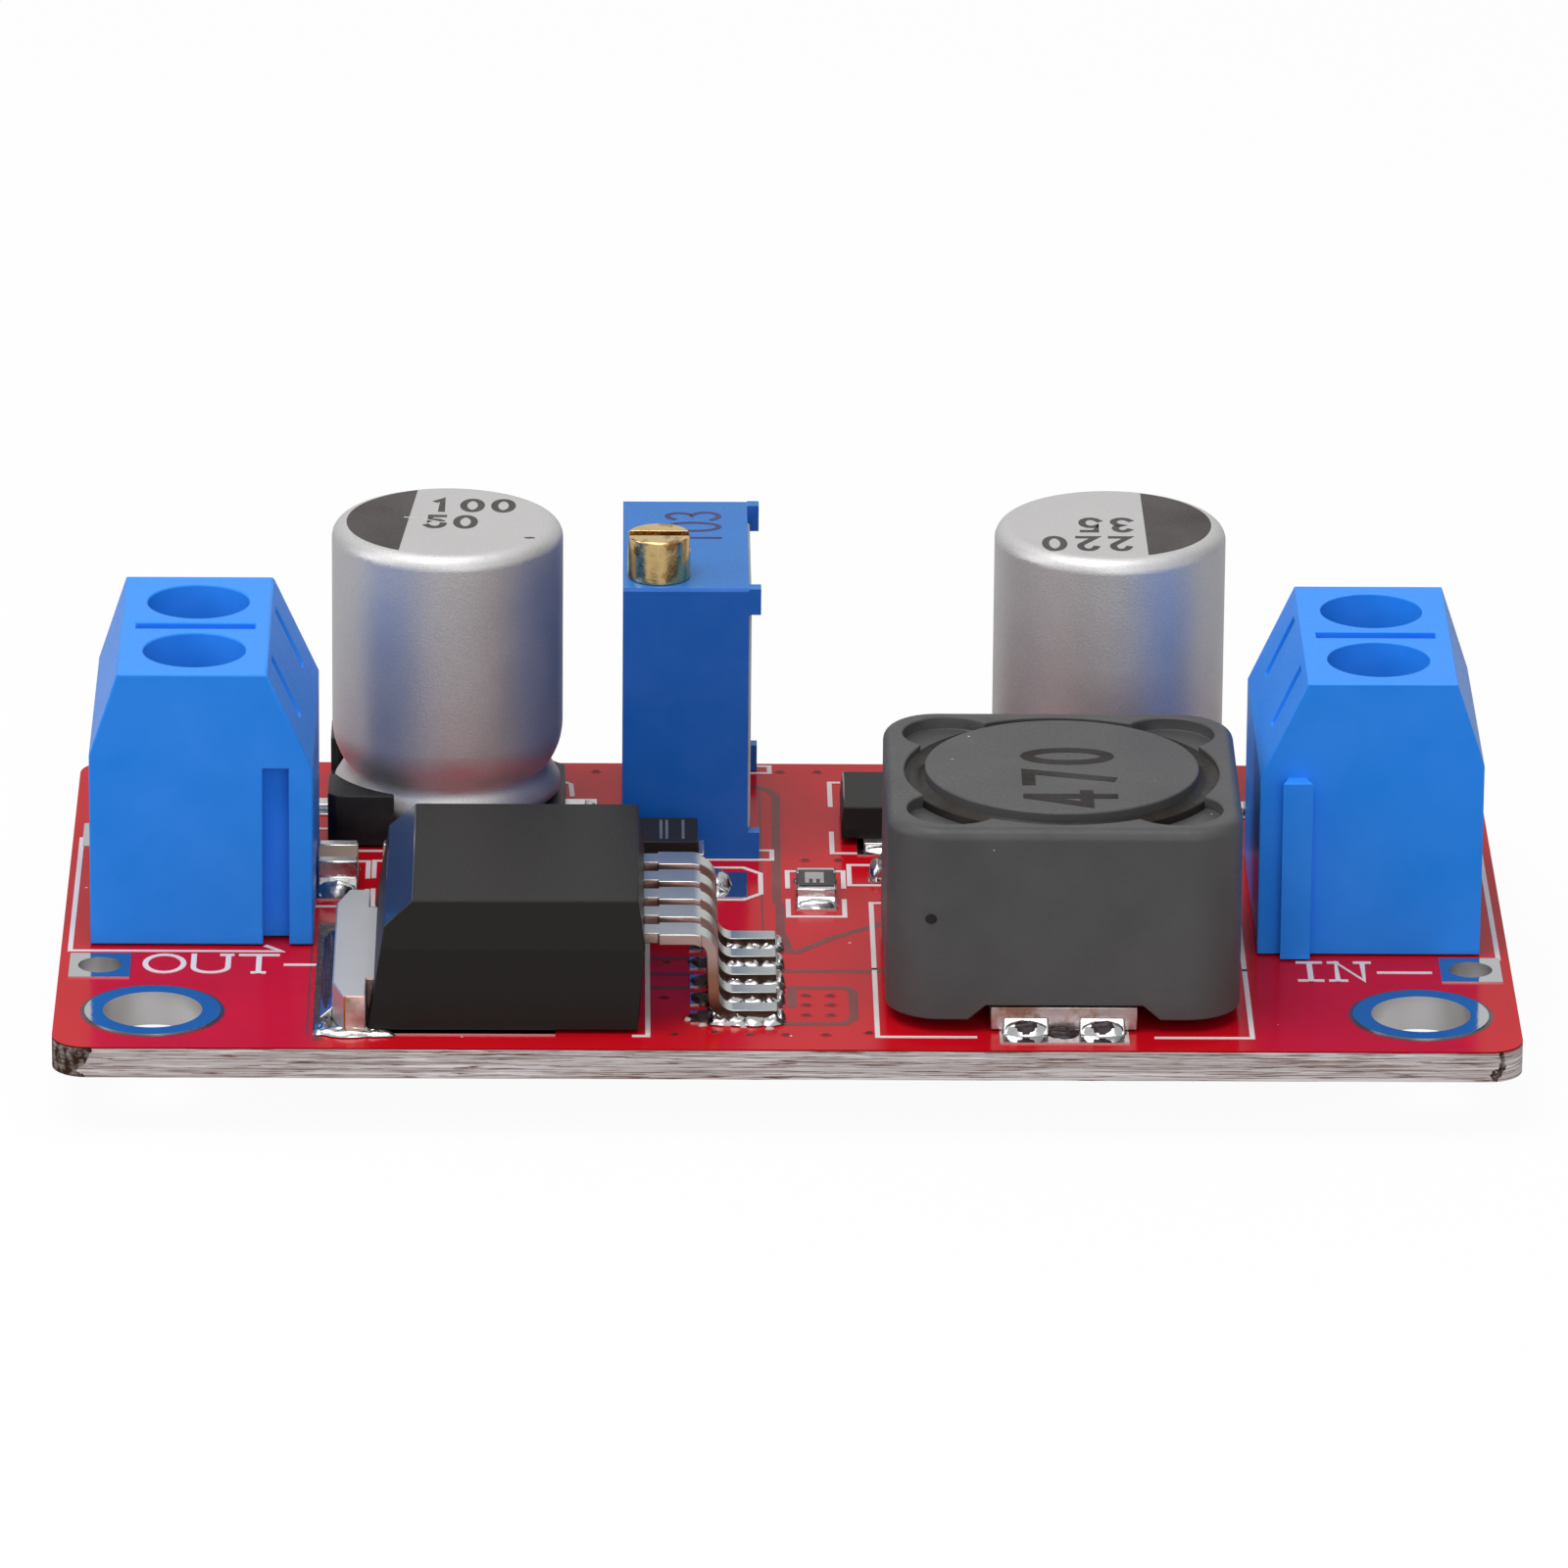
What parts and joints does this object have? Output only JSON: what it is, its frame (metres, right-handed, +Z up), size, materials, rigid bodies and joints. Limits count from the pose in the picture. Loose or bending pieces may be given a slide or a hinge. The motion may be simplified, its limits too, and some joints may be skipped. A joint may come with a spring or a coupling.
{
  "type": "voltage regulator module",
  "caption": "Small step-up voltage regulator board with screw terminals, shielded inductor, trimmer, power regulator and electrolytic capacitors.",
  "frame": {"origin": "centre of the four mounting holes at the board's underside", "axes": "+Z up from the component side, +X along the board towards the input terminals, +Y towards the edge with the capacitors"},
  "size_m": [0.05, 0.0286, 0.0147],
  "materials": {
    "solder_mask": "satin red solder mask over glass-epoxy laminate",
    "plating": "tinned copper plating",
    "solder": "bright tin solder",
    "terminal_blue": "satin blue moulding",
    "trimmer_blue": "blue moulding with a slight gloss",
    "trimmer_plate": "light grey ceramic plate",
    "trimmer_inner": "natural nylon",
    "brass": "turned brass",
    "terminal_steel": "zinc-plated steel",
    "contact_metal": "tinned brass strip",
    "can_aluminium": "satin aluminium can",
    "base_black": "black moulded base",
    "tinned_lead": "matt tinned lead",
    "ferrite": "dark grey ferrite with a coat of lacquer",
    "copper_wire": "enamelled copper wire, wound as one mass",
    "epoxy_black": "black moulding compound",
    "resistor_black": "black glaze over white ceramic",
    "ceramic_brown": "tan ceramic"
  },
  "bodies": {
    "board": {"circuit_board": "solder_mask", "mounting_hole_linings": "plating", "wire_pads": "plating", "copper_pads": "plating", "surface_solder": "solder", "pin_solder": "solder", "trimmer_housing": "trimmer_blue", "trimmer_cover": "trimmer_plate", "trimmer_pins": "tinned_lead", "inductor_shield": "ferrite", "inductor_drum": "ferrite", "inductor_winding": "copper_wire", "inductor_terminals": "tinned_lead", "regulator_body": "epoxy_black", "regulator_tab": "tinned_lead", "regulator_leads": "tinned_lead", "rectifier_body": "epoxy_black", "rectifier_terminals": "tinned_lead", "diode_body": "epoxy_black", "diode_terminals": "tinned_lead", "resistor_body": "resistor_black", "resistor_ends": "tinned_lead", "ceramic_capacitor_bodies": "ceramic_brown", "ceramic_capacitor_ends": "tinned_lead", "left_terminal_housing": "terminal_blue", "left_terminal_contacts": "contact_metal", "left_capacitor_can": "can_aluminium", "left_capacitor_base": "base_black", "left_capacitor_leads": "tinned_lead", "right_terminal_housing": "terminal_blue", "right_terminal_contacts": "contact_metal", "right_capacitor_can": "can_aluminium", "right_capacitor_base": "base_black", "right_capacitor_leads": "tinned_lead"},
    "left_front_clamp": {"left_front_wire_guard": "terminal_steel"},
    "left_front_screw": {"left_front_terminal_screw": "terminal_steel"},
    "left_back_clamp": {"left_back_wire_guard": "terminal_steel"},
    "left_back_screw": {"left_back_terminal_screw": "terminal_steel"},
    "right_front_clamp": {"right_front_wire_guard": "terminal_steel"},
    "right_front_screw": {"right_front_terminal_screw": "terminal_steel"},
    "right_back_clamp": {"right_back_wire_guard": "terminal_steel"},
    "right_back_screw": {"right_back_terminal_screw": "terminal_steel"},
    "trimmer_adjuster": {"trimmer_screw": "brass"},
    "trimmer_rotor": {"trimmer_wheel": "trimmer_inner"}
  },
  "joints": [
    {"name": "left_front_clamp_slide", "type": "slide", "parent": "board", "child": "left_front_clamp", "axis": [0, 0, 1], "range_m": [-0.0018, 0]},
    {"name": "left_front_screw_turn", "type": "hinge", "parent": "left_front_clamp", "child": "left_front_screw", "pos_m": [-0.02042, -0.00189, 0.0095], "axis": [0, 0, 1], "range_deg": [-1450, 0]},
    {"name": "left_back_clamp_slide", "type": "slide", "parent": "board", "child": "left_back_clamp", "axis": [0, 0, 1], "range_m": [-0.0018, 0]},
    {"name": "left_back_screw_turn", "type": "hinge", "parent": "left_back_clamp", "child": "left_back_screw", "pos_m": [-0.02042, 0.00319, 0.0095], "axis": [0, 0, 1], "range_deg": [-1450, 0]},
    {"name": "right_front_clamp_slide", "type": "slide", "parent": "board", "child": "right_front_clamp", "axis": [0, 0, 1], "range_m": [-0.0018, 0]},
    {"name": "right_front_screw_turn", "type": "hinge", "parent": "right_front_clamp", "child": "right_front_screw", "pos_m": [0.02042, -0.00242, 0.0095], "axis": [0, 0, 1], "range_deg": [-1450, 0]},
    {"name": "right_back_clamp_slide", "type": "slide", "parent": "board", "child": "right_back_clamp", "axis": [0, 0, 1], "range_m": [-0.0018, 0]},
    {"name": "right_back_screw_turn", "type": "hinge", "parent": "right_back_clamp", "child": "right_back_screw", "pos_m": [0.02042, 0.00266, 0.0095], "axis": [0, 0, 1], "range_deg": [-1450, 0]},
    {"name": "trimmer_screw_turn", "type": "hinge", "parent": "board", "child": "trimmer_adjuster", "pos_m": [-0.00438, 0.00577, 0.0115], "axis": [0, 0, 1], "range_deg": [-4510, 4510]},
    {"name": "trimmer_wheel_turn", "type": "hinge", "parent": "board", "child": "trimmer_rotor", "pos_m": [-0.00438, 0.00987, 0.00615], "axis": [1, 0, 0], "range_deg": [-161, 161]}
  ],
  "couplings": [
    {"joint": "left_front_screw_turn", "follows": "left_front_clamp_slide", "rad_per_m": 13963},
    {"joint": "left_back_screw_turn", "follows": "left_back_clamp_slide", "rad_per_m": 13963},
    {"joint": "right_front_screw_turn", "follows": "right_front_clamp_slide", "rad_per_m": 13963},
    {"joint": "right_back_screw_turn", "follows": "right_back_clamp_slide", "rad_per_m": 13963},
    {"joint": "trimmer_screw_turn", "follows": "trimmer_wheel_turn", "ratio": 28}
  ]
}
